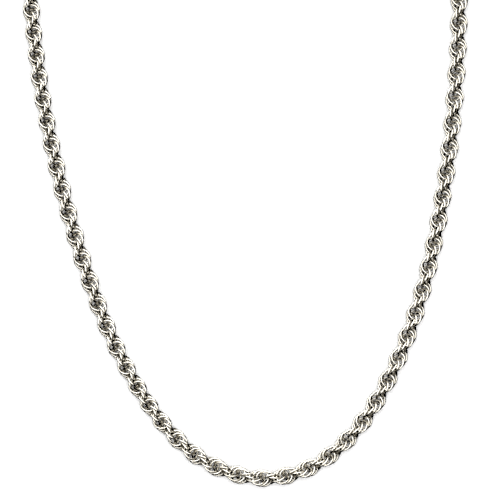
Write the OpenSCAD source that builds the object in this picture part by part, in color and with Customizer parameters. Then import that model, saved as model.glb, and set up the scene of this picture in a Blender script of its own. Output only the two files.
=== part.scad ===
/* [Rope chain] */
// Outside diameter of the twisted rope, over its strands
rope_d = 4.5; // [3:0.1:5]

/* [End rings] */
// Outside diameter of the soldered ring at each end of the rope
end_ring_d = 4.4; // [4.3:0.1:4.6]
// Wire diameter of the end rings
end_ring_wire = 0.7; // [0.6:0.05:0.75]
// How far the end rings lean over from upright where they lie, in degrees
end_ring_lean = 30; // [24:1:34]

/* [Clasp] */
// Length from the middle of the eye's hole to the ring's place in the nose
clasp_span = 9.4; // [8.6:0.1:11]
// Width over the spine and the gate
clasp_w = 6.4; // [6:0.1:7]
// Thickness of the clasp at its heavy end, which it lies on
heel_h = 3.6; // [3.4:0.1:3.9]
// Thickness of the nose
nose_h = 1.1; // [0.9:0.05:1.2]
// Length of the solid heel, between the eye's hole and the opening
heel_l = 5.2; // [4.4:0.1:5.6]
// Width of the spine and of the gate, seen from above
spine_w = 1.3; // [1.1:0.1:1.5]
// Diameter of the thumb stud on the gate
stud_d = 1.5; // [1.2:0.1:1.8]
// Outside diameter of the eye
eye_d = 3.8; // [3.6:0.1:4.4]
// Wire diameter of the eye
eye_wire = 0.9; // [0.7:0.05:1]

/* [Fit] */
// Gap between the rope's end and the end ring soldered to it
seat_gap = 0.15; // [0.1:0.05:0.4]
// Gap between the nose of the clasp and the end ring that pulls on it
nose_gap = 0.25; // [0.2:0.05:0.4]
// Gap between the heel of the clasp and the hole of its eye
heel_gap = 0.1; // [0:0.05:0.3]

/* [Hidden] */
$fn = 64;

silver = [0.78, 0.77, 0.74];

// The rope lies flat on its rest plane, z = 0, in a long oval loop. It runs from the left end
// ring down the left arm, round the front and up the right arm to the right end ring. The clasp
// closes the loop behind, on the line y = clasp_y.
clasp_y = 86.8;
rope_line = [
    [-20, 84.6], [-31.4, 78.8], [-41.1, 70], [-48.4, 58.7], [-52.4, 44.5], [-52.2, 28],
    [-49.6, 6], [-45.2, -15.5], [-39, -37], [-32, -55.3], [-23.2, -71], [-13.2, -82.2],
    [-2.5, -87.8], [8.3, -88.7], [18.6, -85], [27.5, -77.1], [34.6, -66.2], [41, -51.6],
    [46.2, -33.3], [49.8, -12.7], [51.9, 7.2], [52.8, 27.5], [52.4, 44.8], [48.2, 58.7],
    [41.1, 70], [31.4, 78.8], [20, 84.6]
];

// Steps of the swept rope between two points of its line, and sides of its round section
steps_per_point = 2;
rope_sides = 12;

clasp_z = heel_h / 2;

// The end rings lean on the rest plane. Their wire crosses the clasp's mid height at clasp_y, in
// the middle of the eye and of the nose.
end_ring_r = (end_ring_d - end_ring_wire) / 2;
end_ring_z = end_ring_r * cos(end_ring_lean) + end_ring_wire / 2;
end_ring_y = clasp_y + (end_ring_z - clasp_z) * tan(end_ring_lean);
end_ring_drop = (end_ring_z - clasp_z) / cos(end_ring_lean);
end_ring_x = clasp_span / 2 + sqrt(end_ring_r * end_ring_r - end_ring_drop * end_ring_drop);
rope_end_x = end_ring_x + end_ring_d / 2 + seat_gap;

function catmull(a, b, c, d, t) =
    0.5 * ((2 * b) + (c - a) * t + (2 * a - 5 * b + 4 * c - d) * t * t
    + (3 * b - a - 3 * c + d) * t * t * t);

// The whole line of the rope with its two ends, smooth through every point
line_points = concat([[-rope_end_x, clasp_y]], rope_line, [[rope_end_x, clasp_y]]);
last_point = len(line_points) - 1;
function line_point(i) = i < 0 ? 2 * line_points[0] - line_points[1]
    : i > last_point ? 2 * line_points[last_point] - line_points[last_point - 1]
    : line_points[i];
function line_at(u) = let (i = min(floor(u), last_point - 1), t = u - i)
    catmull(line_point(i - 1), line_point(i), line_point(i + 1), line_point(i + 2), t);

// One round section of the rope, square to its line
function section(p, heading) = [
    for (k = [0 : rope_sides - 1])
        let (a = 360 * k / rope_sides, out = rope_d / 2 * cos(a))
        [p[0] - out * sin(heading), p[1] + out * cos(heading), rope_d / 2 * (1 + sin(a))]
];

module rope_chain() {
    n_steps = last_point * steps_per_point;
    centres = [for (i = [0 : n_steps]) line_at(i / steps_per_point)];
    headings = [
        for (i = [0 : n_steps])
            let (ahead = centres[min(i + 1, n_steps)] - centres[max(i - 1, 0)])
            atan2(ahead[1], ahead[0])
    ];
    points = [for (i = [0 : n_steps]) each section(centres[i], headings[i])];
    walls = [
        for (i = [0 : n_steps - 1], k = [0 : rope_sides - 1])
            let (a = i * rope_sides, next = (k + 1) % rope_sides)
            [a + k, a + next, a + rope_sides + next, a + rope_sides + k]
    ];
    near_end = [for (k = [rope_sides - 1 : -1 : 0]) k];
    far_end = [for (k = [0 : rope_sides - 1]) n_steps * rope_sides + k];
    color(silver) polyhedron(points, concat([near_end], walls, [far_end]), convexity = 10);
}

// A round wire bent into a ring, flat, with its middle at the origin
module wire_ring(outside_d, wire_d, angle = 360) {
    rotate_extrude(angle = angle)
        translate([(outside_d - wire_d) / 2, 0]) circle(d = wire_d);
}

module end_ring(side) {
    color(silver)
        translate([side * end_ring_x, end_ring_y, end_ring_z])
        rotate([90 - end_ring_lean, 0, 0])
        wire_ring(end_ring_d, end_ring_wire);
}

// A plain closed lobster clasp in one piece: heel, spine, nose and gate round an oval opening,
// with a thumb stud on the gate and an eye at the heel. It lies flat, with its eye to the left.
module clasp() {
    stud_x = (heel_x + heel_l + nose_inner_x) / 2;
    color(silver) translate([0, clasp_y, clasp_z]) {
        translate([eye_x, 0, 0]) wire_ring(eye_d, eye_wire);
        clasp_body();
        translate([stud_x, -clasp_w / 2, 0]) sphere(d = stud_d);
    }
}

// Places along the clasp: the eye, the heel's tip and the two ends of the opening and the nose
eye_x = -clasp_span / 2;
heel_x = eye_x + eye_d / 2 - eye_wire + heel_gap;
nose_inner_x = clasp_span / 2 + end_ring_wire / 2 + nose_gap;
nose_outer_x = nose_inner_x + nose_h;

// Rings of the clasp's body round its opening, and sides of its oval section
body_rings = 48;
body_sides = 16;

// A point of an oval that reaches from x0 to x1 and is w wide
function oval(x0, x1, w, t) = [(x0 + x1) / 2 + (x1 - x0) / 2 * cos(t), w / 2 * sin(t)];

// One oval section of the body, from the opening's edge to the outline, thickest at the heel
function body_section(t) =
    let (
        inner = oval(heel_x + heel_l, nose_inner_x, clasp_w - 2 * spine_w, t),
        outer = oval(heel_x, nose_outer_x, clasp_w, t),
        middle = (inner + outer) / 2,
        reach = (outer - inner) / 2,
        h = nose_h + (heel_h - nose_h) * (1 - cos(t)) / 2
    )
    [
        for (k = [0 : body_sides - 1])
            let (a = 360 * k / body_sides)
            [middle[0] + reach[0] * cos(a), middle[1] + reach[1] * cos(a), h / 2 * sin(a)]
    ];

module clasp_body() {
    points = [for (i = [0 : body_rings - 1]) each body_section(360 * i / body_rings)];
    faces = [
        for (i = [0 : body_rings - 1], k = [0 : body_sides - 1])
            let (
                a = i * body_sides,
                b = (i + 1) % body_rings * body_sides,
                next = (k + 1) % body_sides
            )
            [a + k, a + next, b + next, b + k]
    ];
    polyhedron(points, faces, convexity = 4);
}

rope_chain();
end_ring(-1);  // left_end_ring
end_ring(1);  // right_end_ring
clasp();
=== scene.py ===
import bpy
import numpy as np
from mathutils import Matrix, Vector


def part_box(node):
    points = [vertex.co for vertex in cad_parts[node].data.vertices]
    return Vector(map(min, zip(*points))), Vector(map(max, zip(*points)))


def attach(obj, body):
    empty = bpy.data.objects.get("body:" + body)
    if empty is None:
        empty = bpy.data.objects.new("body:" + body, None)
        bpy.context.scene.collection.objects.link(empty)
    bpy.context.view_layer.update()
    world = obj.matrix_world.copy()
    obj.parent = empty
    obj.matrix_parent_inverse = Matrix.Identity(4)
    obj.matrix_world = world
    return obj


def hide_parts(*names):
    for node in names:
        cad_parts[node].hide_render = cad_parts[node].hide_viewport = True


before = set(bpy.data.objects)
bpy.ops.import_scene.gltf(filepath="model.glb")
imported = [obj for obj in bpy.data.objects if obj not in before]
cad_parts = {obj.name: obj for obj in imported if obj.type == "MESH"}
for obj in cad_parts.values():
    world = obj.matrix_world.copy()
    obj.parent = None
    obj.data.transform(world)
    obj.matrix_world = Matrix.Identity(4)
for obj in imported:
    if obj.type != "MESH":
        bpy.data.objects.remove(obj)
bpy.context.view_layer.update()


# The rope: 526 small round links of one silver wire. Each is closed through the four links before
# it and the four after it, so the links stack into two strands that wind round each other. Where
# the links turn their flat to the eye the rope shows a lobe, and a narrow waist between.
WIRE = 0.00046
LINK_RADIUS = 0.001948
LINKS_PER_LOBE = 7
LOBE_LENGTH = 0.00586
ROPE_RADIUS = 0.00226

# How a link sits in the weave: its middle beside the rope's, its turn and lean, and where a lobe
# faces. The last three are what turn, place and radius gain as the lobes are drawn out.
LINK_OFFSET = 0.000062
LINK_SHIFT = -0.000034
LINK_TURN = np.radians(80.5)
LINK_LEAN = np.radians(16.4)
LOBE_FACING = np.radians(209.7)
TURN_PLAY, OFFSET_PLAY, REACH_PLAY = np.radians(40), 0.0009, 0.5

# The bare route before the first link and after the last one, and the sides of a link's mesh
FIRST_GAP, LAST_GAP = 0.0017, 0.00187
LINK_SIDES, WIRE_SIDES = 16, 6

# The route that the rope lies along, from the left end ring round the front to the right one
ROUTE_STEPS = 200
rope_line = np.array([
    (-0.0088916, 0.0868), (-0.0200, 0.0846), (-0.0314, 0.0788), (-0.0411, 0.0700),
    (-0.0484, 0.0587), (-0.0524, 0.0445), (-0.0522, 0.0280), (-0.0496, 0.0060),
    (-0.0452, -0.0155), (-0.0390, -0.0370), (-0.0320, -0.0553), (-0.0232, -0.0710),
    (-0.0132, -0.0822), (-0.0025, -0.0878), (0.0083, -0.0887), (0.0186, -0.0850),
    (0.0275, -0.0771), (0.0346, -0.0662), (0.0410, -0.0516), (0.0462, -0.0333),
    (0.0498, -0.0127), (0.0519, 0.0072), (0.0528, 0.0275), (0.0524, 0.0448),
    (0.0482, 0.0587), (0.0411, 0.0700), (0.0314, 0.0788), (0.0200, 0.0846), (0.0088916, 0.0868),
])

# How the rope is wound: lobes counted from the left, and how far along the rope each one comes
EASED_LOBES, EASED_STEPS = 1.5, 13
lobes = np.array([
    # lobe, place along the rope in metres
    (-17, -0.0117),
    (0, 0.08505),
    (6, 0.1179),
    (10, 0.1413),
    (13, 0.1590),
    (16, 0.1762),
    (20, 0.1971),
    (21, 0.2035),
    (27, 0.2385),
    (33, 0.2741),
    (40, 0.3151),
    (45, 0.3461),
    (63, 0.4519),
])

# The link at each end that joins the rope to its end ring, lying level
end_links = np.array([
    # centre x, y and z and radius in metres
    (-0.0091, 0.08732, 0.00145, 0.00209),
    (0.00926, 0.08604, 0.00139, 0.00209),
])


def smooth_line(points, steps):
    """Catmull-Rom: each span is the cubic that passes through its two points with half the
    difference of their neighbours as slope."""
    ends = np.vstack([2 * points[0] - points[1], points, 2 * points[-1] - points[-2]])
    a, b, c, d = (ends[i:len(points) - 1 + i, None] for i in range(4))
    t = (np.arange(steps) / steps)[:, None]
    spans = 0.5 * (
        2 * b + (c - a) * t + (2 * a - 5 * b + 4 * c - d) * t**2 + (3 * b - a - 3 * c + d) * t**3
    )
    return np.vstack([spans.reshape(-1, 2), points[-1:]])


route = smooth_line(rope_line, ROUTE_STEPS)
route_length = np.concatenate([[0], np.cumsum(np.linalg.norm(np.diff(route, axis=0), axis=1))])


def on_route(length):
    """Places and headings on the route: the point at that length, and the step to it from just
    before and after, made one long."""
    reach = 0.0005
    point, before, after = (
        np.stack([np.interp(length + d, route_length, route[:, k]) for k in (0, 1)], -1)
        for d in (0, -reach, reach)
    )
    heading = after - before
    heading /= np.linalg.norm(heading, axis=1, keepdims=True)
    return point, heading


# Places of the links, with each change in the lobes' length eased over the lobes beside it
number = np.arange(LINKS_PER_LOBE * lobes[0, 0], LINKS_PER_LOBE * lobes[-1, 0] + 1)
eased = number / LINKS_PER_LOBE + np.linspace(-EASED_LOBES, EASED_LOBES, EASED_STEPS)[:, None]
length = np.interp(eased, lobes[:, 0], lobes[:, 1]).mean(axis=0)
stretch = np.gradient(length) * LINKS_PER_LOBE / LOBE_LENGTH
kept = (length > FIRST_GAP) & (length < route_length[-1] - LAST_GAP)
number, length, stretch = number[kept], length[kept], stretch[kept]

# One link in its own place on a straight rope: x and y across the rope, z along it. Where the rope
# is drawn out the links stand more along it and reach a little wider.
radial, sideways, axial = np.eye(3)
link_turn = LINK_TURN + TURN_PLAY * (stretch[:, None] - 1)
link_radius = LINK_RADIUS * stretch**REACH_PLAY
link_along = np.cos(link_turn) * sideways + np.sin(link_turn) * axial
link_up = -np.sin(link_turn) * sideways + np.cos(link_turn) * axial
link_across = np.cos(LINK_LEAN) * radial + np.sin(LINK_LEAN) * link_up
link_offset = LINK_OFFSET + OFFSET_PLAY * (stretch[:, None] - 1)
link_centre = link_offset * radial + LINK_SHIFT * sideways

# Each link is the one before it turned by half a turn and a lobe's share of another half
turn = np.pi * (1 + 1 / LINKS_PER_LOBE) * number + LOBE_FACING
point, heading = on_route(length)
left = np.stack([-heading[:, 1], heading[:, 0], np.zeros(len(number))], -1)
up = np.tile([0.0, 0.0, 1.0], (len(number), 1))
forward = np.column_stack([heading, np.zeros(len(number))])


def turned(vector):
    """A link's own vector, turned about the rope by each link's turn and set along the route."""
    x, y, z = (vector[..., k, None] for k in range(3))
    c, s = np.cos(turn)[:, None], np.sin(turn)[:, None]
    return (x * c - y * s) * left + (x * s + y * c) * up + z * forward


def link_surfaces(centre, across, along, radius, wire, sides, wire_sides):
    """Round wire rings. With e = across cos t + along sin t, a point is
    centre + radius e + wire / 2 (e cos v + across x along sin v)."""
    t = 2 * np.pi * np.arange(sides)[:, None, None] / sides
    v = 2 * np.pi * np.arange(wire_sides)[:, None] / wire_sides
    centre, across, along = (x[:, None, None] for x in (centre, across, along))
    out = across * np.cos(t) + along * np.sin(t)
    side = np.cross(across, along)
    return centre + out * (radius + wire / 2 * np.cos(v)) + side * (wire / 2 * np.sin(v))


def grid_faces(copies, rows, columns):
    """Quads of grids that close on themselves both ways, for vertices in the order of copy, row
    and column."""
    copy, i, j = np.indices((copies, rows, columns))
    after_i, after_j = (i + 1) % rows, (j + 1) % columns
    corners = [(i, j), (after_i, j), (after_i, after_j), (i, after_j)]
    return np.stack([(copy * rows + a) * columns + b for a, b in corners], -1).reshape(-1, 4)


rope_centres = np.column_stack([point, np.full(len(number), ROPE_RADIUS)]) + turned(link_centre)
rope_points = link_surfaces(
    np.vstack([rope_centres, end_links[:, :3]]),
    np.vstack([turned(link_across), (1, 0, 0), (1, 0, 0)]),
    np.vstack([turned(link_along), (0, 1, 0), (0, 1, 0)]),
    np.concatenate([link_radius, end_links[:, 3]])[:, None, None, None],
    WIRE, LINK_SIDES, WIRE_SIDES,
)
rope_faces = grid_faces(len(rope_points), LINK_SIDES, WIRE_SIDES).tolist()

# The silver is a faintly warm white metal, tumbled and polished. Handling has left a slow change
# of tone, soft patches of duller metal and hairline wear that only shows close up.
CLEAN_SILVER = (0.53, 0.505, 0.45, 1)
WARM_SILVER = (0.39, 0.365, 0.31, 1)
TONE_SCALE, TONE_FLOOR, TONE_GAIN = 160.0, 0.3, 1.4
ROUGHNESS_SPREAD = 0.16
HAIR_ANGLES, HAIR_SQUEEZE = (0.3, 0.5, 0.7), (1, 9, 9)
RELIEF_STRENGTH, RELIEF_DEPTH = 0.35, 0.000012
ROPE_ROUGHNESS, ROPE_WEAR_SCALE = 0.08, 2600.0


class Shade:
    """An output of a shader node. Arithmetic on shades and numbers adds Math nodes."""

    def __init__(self, tree, socket=None):
        self.tree, self.socket = tree, socket

    def node(self, kind, settings=None, sockets=None, output=0):
        """Adds a node: its settings first, then the values or links of its sockets."""
        made = self.tree.nodes.new(kind)
        for name, value in (settings or {}).items():
            if name == "stops":
                ramp = made.color_ramp.elements
                while len(ramp) < len(value):
                    ramp.new(1)
                for stop, (place, colour) in zip(ramp, value):
                    stop.position, stop.color = place, colour
            else:
                setattr(made, name, value)
        for name, value in (sockets or {}).items():
            if isinstance(value, Shade):
                self.tree.links.new(value.socket, made.inputs[name])
            else:
                made.inputs[name].default_value = value
        return Shade(self.tree, made.outputs[output] if len(made.outputs) else None)

    def math(self, operation, *values):
        """Adds a Math node on shades and numbers."""
        settings = {"operation": operation}
        return self.node("ShaderNodeMath", settings, dict(enumerate(values)))

    def __add__(self, other):
        return self.math("ADD", self, other)

    def __sub__(self, other):
        return self.math("SUBTRACT", self, other)

    def __rsub__(self, other):
        return self.math("SUBTRACT", other, self)

    def __mul__(self, other):
        return self.math("MULTIPLY", self, other)

    __radd__, __rmul__ = __add__, __mul__


def empty_tree(owner):
    """The node tree of a material, world or light, with nothing in it."""
    owner.use_nodes = True
    owner.node_tree.nodes.clear()
    return Shade(owner.node_tree)


def polished_silver(name, roughness, wear_scale):
    """Metal whose tone follows slow noise, whose roughness is a base plus noise patches, and whose
    surface carries hairlines: noise on coordinates drawn out along one direction."""
    material = bpy.data.materials.new(name)
    tree = empty_tree(material)

    def noise(place, scale, detail):
        sockets = {"Vector": place, "Scale": scale, "Detail": detail}
        return tree.node("ShaderNodeTexNoise", sockets=sockets)

    # Output 3 is the Object coordinates
    place = tree.node("ShaderNodeTexCoord", output=3)
    slow = noise(place, TONE_SCALE, detail=2.0)
    patch = noise(place, wear_scale, detail=3.0)
    drawn = tree.node(
        "ShaderNodeMapping",
        sockets={"Vector": place, "Rotation": HAIR_ANGLES, "Scale": HAIR_SQUEEZE},
    )
    hairs = noise(drawn, wear_scale, detail=4.0)

    # Sockets 0, 6 and 7 are the factor and the two colours, and output 2 is the mixed colour
    tone = tree.node(
        "ShaderNodeMix",
        {"data_type": "RGBA"},
        {0: (slow - TONE_FLOOR) * TONE_GAIN, 6: CLEAN_SILVER, 7: WARM_SILVER},
        output=2,
    )
    relief = tree.node(
        "ShaderNodeBump",
        sockets={"Strength": RELIEF_STRENGTH, "Distance": RELIEF_DEPTH, "Height": hairs + patch},
    )
    metal = tree.node(
        "ShaderNodeBsdfPrincipled",
        sockets={
            "Base Color": tone,
            "Metallic": 1.0,
            "Roughness": patch * ROUGHNESS_SPREAD + (roughness - ROUGHNESS_SPREAD / 2),
            "Normal": relief,
        },
    )
    tree.node("ShaderNodeOutputMaterial", sockets={"Surface": metal})
    return material


def make_piece(name, points, faces, material):
    """A smooth-shaded object at the origin whose place is in its mesh, riding on the root body."""
    mesh = bpy.data.meshes.new(name)
    mesh.from_pydata(points.reshape(-1, 3), [], faces)
    mesh.polygons.foreach_set("use_smooth", np.ones(len(mesh.polygons), bool))
    mesh.materials.append(material)
    mesh.update()
    piece = bpy.data.objects.new(name, mesh)
    bpy.context.scene.collection.objects.link(piece)
    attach(piece, "root")
    return piece


rope_silver = polished_silver("rope_silver", ROPE_ROUGHNESS, ROPE_WEAR_SCALE)
rope_links = make_piece("rope_links", rope_points, rope_faces, rope_silver)
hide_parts("rope_chain")


# The end rings: a heavier wire ring at each end of the rope, soldered shut. Both lie leaning on the
# surface, the left one hooked in the clasp's eye and the right one held in its nose.
RING_D = 0.0044
RING_WIRE = 0.0007
RING_LEAN = np.radians(30)
RING_SIDES, RING_WIRE_SIDES = 64, 16
FINE_ROUGHNESS, FINE_WEAR_SCALE = 0.22, 1400.0

ring_radius = (RING_D - RING_WIRE) / 2
ring_across = np.array([[1.0, 0.0, 0.0]])
ring_up = np.array([[0.0, np.sin(RING_LEAN), np.cos(RING_LEAN)]])
ring_faces = grid_faces(1, RING_SIDES, RING_WIRE_SIDES)
fine_silver = polished_silver("fine_silver", FINE_ROUGHNESS, FINE_WEAR_SCALE)
for node in ("left_end_ring", "right_end_ring"):
    low, high = (np.array(corner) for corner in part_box(node))
    ring_points = link_surfaces(
        (low + high)[None] / 2, ring_across, ring_up,
        ring_radius, RING_WIRE, RING_SIDES, RING_WIRE_SIDES,
    )
    ring = make_piece(node + "_wire", ring_points, ring_faces.tolist(), fine_silver)
    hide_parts(node)


# The clasp: a closed lobster claw, cast in one and polished: a thick heel that tapers round an oval
# opening to a thin nose, a thumb stud on the gate's side and a wire eye soldered to the heel.
CLASP_Y, CLASP_Z = 0.0868, 0.0018
CLASP_SPAN = 0.0094
CLASP_WIDTH = 0.0064
HEEL_HEIGHT, NOSE_HEIGHT = 0.0036, 0.0011
HEEL_LENGTH, NOSE_LENGTH = 0.0052, NOSE_HEIGHT
SPINE_WIDTH = 0.0013
STUD_D = 0.0015
EYE_D, EYE_WIRE = 0.0038, 0.0009
NOSE_GAP, HEEL_GAP = 0.00025, 0.0001
CLAW_ROWS, CLAW_COLUMNS = 96, 28
STUD_ROWS, STUD_COLUMNS = 16, 32

# Places along the clasp: the eye, the heel's tip and the two ends of the opening
eye_x = -CLASP_SPAN / 2
heel_x = eye_x + EYE_D / 2 - EYE_WIRE + HEEL_GAP
hole_x = heel_x + HEEL_LENGTH
nose_x = CLASP_SPAN / 2 + RING_WIRE / 2 + NOSE_GAP


def claw(rows, columns):
    """A flattened ring round the opening. At angle t an ellipse spans from the opening's oval to
    the outline's oval, and its height goes from the nose's to the heel's with (1 - cos t) / 2."""
    t = 2 * np.pi * np.arange(rows)[:, None] / rows
    a = 2 * np.pi * np.arange(columns) / columns

    def oval(x0, x1, width):
        return (x0 + x1) / 2 + (x1 - x0) / 2 * np.cos(t), width / 2 * np.sin(t)

    inner_x, inner_y = oval(hole_x, nose_x, CLASP_WIDTH - 2 * SPINE_WIDTH)
    outer_x, outer_y = oval(heel_x, nose_x + NOSE_LENGTH, CLASP_WIDTH)
    height = NOSE_HEIGHT + (HEEL_HEIGHT - NOSE_HEIGHT) * (1 - np.cos(t)) / 2
    x = (inner_x + outer_x) / 2 + (outer_x - inner_x) / 2 * np.cos(a)
    y = (inner_y + outer_y) / 2 + (outer_y - inner_y) / 2 * np.cos(a)
    return np.stack([x, y, height / 2 * np.sin(a)], -1)


def ball(centre, diameter, rows, columns):
    """A ball: rows of rings from pole to pole, each pole one point, with its faces."""
    rise = np.pi * np.arange(1, rows)[:, None] / rows
    t = 2 * np.pi * np.arange(columns) / columns
    rings = np.stack(
        [np.sin(rise) * np.cos(t), np.sin(rise) * np.sin(t), -np.cos(rise) + 0 * t], -1
    )
    points = np.vstack([[[0, 0, -1]], rings.reshape(-1, 3), [[0, 0, 1]]])
    k, after = np.arange(columns), (np.arange(columns) + 1) % columns
    low = 1 + columns * np.arange(rows - 2)[:, None]
    high = low + columns
    quads = np.stack([low + k, low + after, high + after, high + k], -1).reshape(-1, 4).tolist()
    top, last_ring = len(points) - 1, len(points) - 1 - columns
    caps = np.concatenate([
        np.stack([0 * k, 1 + after, 1 + k], -1),
        np.stack([0 * k + top, last_ring + k, last_ring + after], -1),
    ]).tolist()
    return centre + diameter / 2 * points, quads + caps


clasp_middle = np.array([0, CLASP_Y, CLASP_Z])
body_points = claw(CLAW_ROWS, CLAW_COLUMNS).reshape(-1, 3) + clasp_middle
eye_points = link_surfaces(
    (clasp_middle + (eye_x, 0, 0))[None], np.array([[1.0, 0, 0]]), np.array([[0, 1.0, 0]]),
    (EYE_D - EYE_WIRE) / 2, EYE_WIRE, RING_SIDES, RING_WIRE_SIDES,
).reshape(-1, 3)
stud_points, stud_faces = ball(
    clasp_middle + ((hole_x + nose_x) / 2, -CLASP_WIDTH / 2, 0), STUD_D, STUD_ROWS, STUD_COLUMNS
)
clasp_points = np.vstack([body_points, eye_points, stud_points])
body_count, eye_count = len(body_points), len(eye_points)
clasp_faces = (
    grid_faces(1, CLAW_ROWS, CLAW_COLUMNS).tolist()
    + (ring_faces + body_count).tolist()
    + [[corner + body_count + eye_count for corner in face] for face in stud_faces]
)
clasp = make_piece("clasp_silver", clasp_points, clasp_faces, fine_silver)
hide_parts("clasp")


# The studio: the necklace lies on a plain white table, lit evenly by a wide soft light straight
# above, and is seen from straight above through a long lens.
VIEW_MIDDLE = (0.0015, -0.033)
VIEW_WIDTH = 0.1225
CAMERA_HEIGHT = 1.2
TABLE_REACH, TABLE_Z = 4.0, -0.00002
TABLE_WHITE = (0.92, 0.92, 0.915, 1)

table_corners = [
    (x * TABLE_REACH, y * TABLE_REACH, TABLE_Z) for x, y in ((-1, -1), (1, -1), (1, 1), (-1, 1))
]
table_mesh = bpy.data.meshes.new("table")
table_mesh.from_pydata(table_corners, [], [(0, 1, 2, 3)])
table_paint = bpy.data.materials.new("table_white")
tree = empty_tree(table_paint)
paint = tree.node(
    "ShaderNodeBsdfPrincipled",
    sockets={"Base Color": TABLE_WHITE, "Roughness": 0.9, "Specular IOR Level": 0.0},
)
tree.node("ShaderNodeOutputMaterial", sockets={"Surface": paint})
table_mesh.materials.append(table_paint)
table = bpy.data.objects.new("table", table_mesh)
bpy.context.scene.collection.objects.link(table)
table.visible_glossy = False

camera = bpy.data.objects.new("camera", bpy.data.cameras.new("camera"))
camera.data.lens = camera.data.sensor_width * (CAMERA_HEIGHT - ROPE_RADIUS) / VIEW_WIDTH
camera.data.clip_start, camera.data.clip_end = 0.01, 20
camera.location = (*VIEW_MIDDLE, CAMERA_HEIGHT)
bpy.context.scene.collection.objects.link(camera)
bpy.context.scene.camera = camera

# The studio round the table, which the metal mirrors: one wide bright ceiling light that leans
# towards the back of the neck, with soft edges, and a dark room everywhere else.
CEILING_TOWARD = (-0.10, 0.67, 0.74)
CEILING_STRENGTH = 4.6
ceiling_edge = [
    # how far from behind (0) to straight towards the light (1), brightness
    (0.0, (0.0, 0.0, 0.0, 1)),
    (0.70, (0.0, 0.0, 0.0, 1)),
    (0.77, (0.6, 0.6, 0.6, 1)),
    (0.82, (1.0, 1.0, 1.0, 1)),
]
world = bpy.data.worlds.new("studio_room")
tree = empty_tree(world)

# Output 0 is the direction that a ray looks in, and output 1 is the dot product
seen = tree.node("ShaderNodeTexCoord", output=0)
toward = tree.node(
    "ShaderNodeVectorMath", {"operation": "DOT_PRODUCT"}, {0: seen, 1: CEILING_TOWARD}, output=1
)
glow = tree.node("ShaderNodeValToRGB", {"stops": ceiling_edge}, {0: toward * 0.5 + 0.5})
sky = tree.node("ShaderNodeBackground", sockets={"Color": glow, "Strength": CEILING_STRENGTH})
tree.node("ShaderNodeOutputWorld", sockets={"Surface": sky})
bpy.context.scene.world = world
world.cycles_visibility.diffuse = False


def soft_light(name, place, width, height, power):
    """A rectangular soft light at a place, turned to face the middle of the view."""
    light = bpy.data.lights.new(name, "AREA")
    light.shape, light.size, light.size_y, light.energy = "RECTANGLE", width, height, power
    lamp = bpy.data.objects.new(name, light)
    lamp.location = place
    aim = Vector((*VIEW_MIDDLE, 0)) - Vector(place)
    lamp.rotation_euler = aim.to_track_quat("-Z", "Y").to_euler()
    bpy.context.scene.collection.objects.link(lamp)
    return lamp


soft_light("key_light", (-0.10, 0.45, 1.05), width=0.08, height=0.08, power=1.0)
table_light = soft_light("table_light", (0.0, 0.0, 1.5), width=1.6, height=1.6, power=42.0)
table_light.visible_glossy = False

# A white card at the front lights only the smooth pieces, whose broad faces would mirror the dark
fill_light = soft_light("fill_light", (0.1, -0.75, 0.50), width=1.6, height=0.7, power=9.0)
smooth_pieces = bpy.data.collections.new("smooth_pieces")
for name in ("left_end_ring_wire", "right_end_ring_wire", "clasp_silver"):
    smooth_pieces.objects.link(bpy.data.objects[name])
fill_light.light_linking.receiver_collection = smooth_pieces

bpy.context.scene.view_settings.view_transform = "Standard"
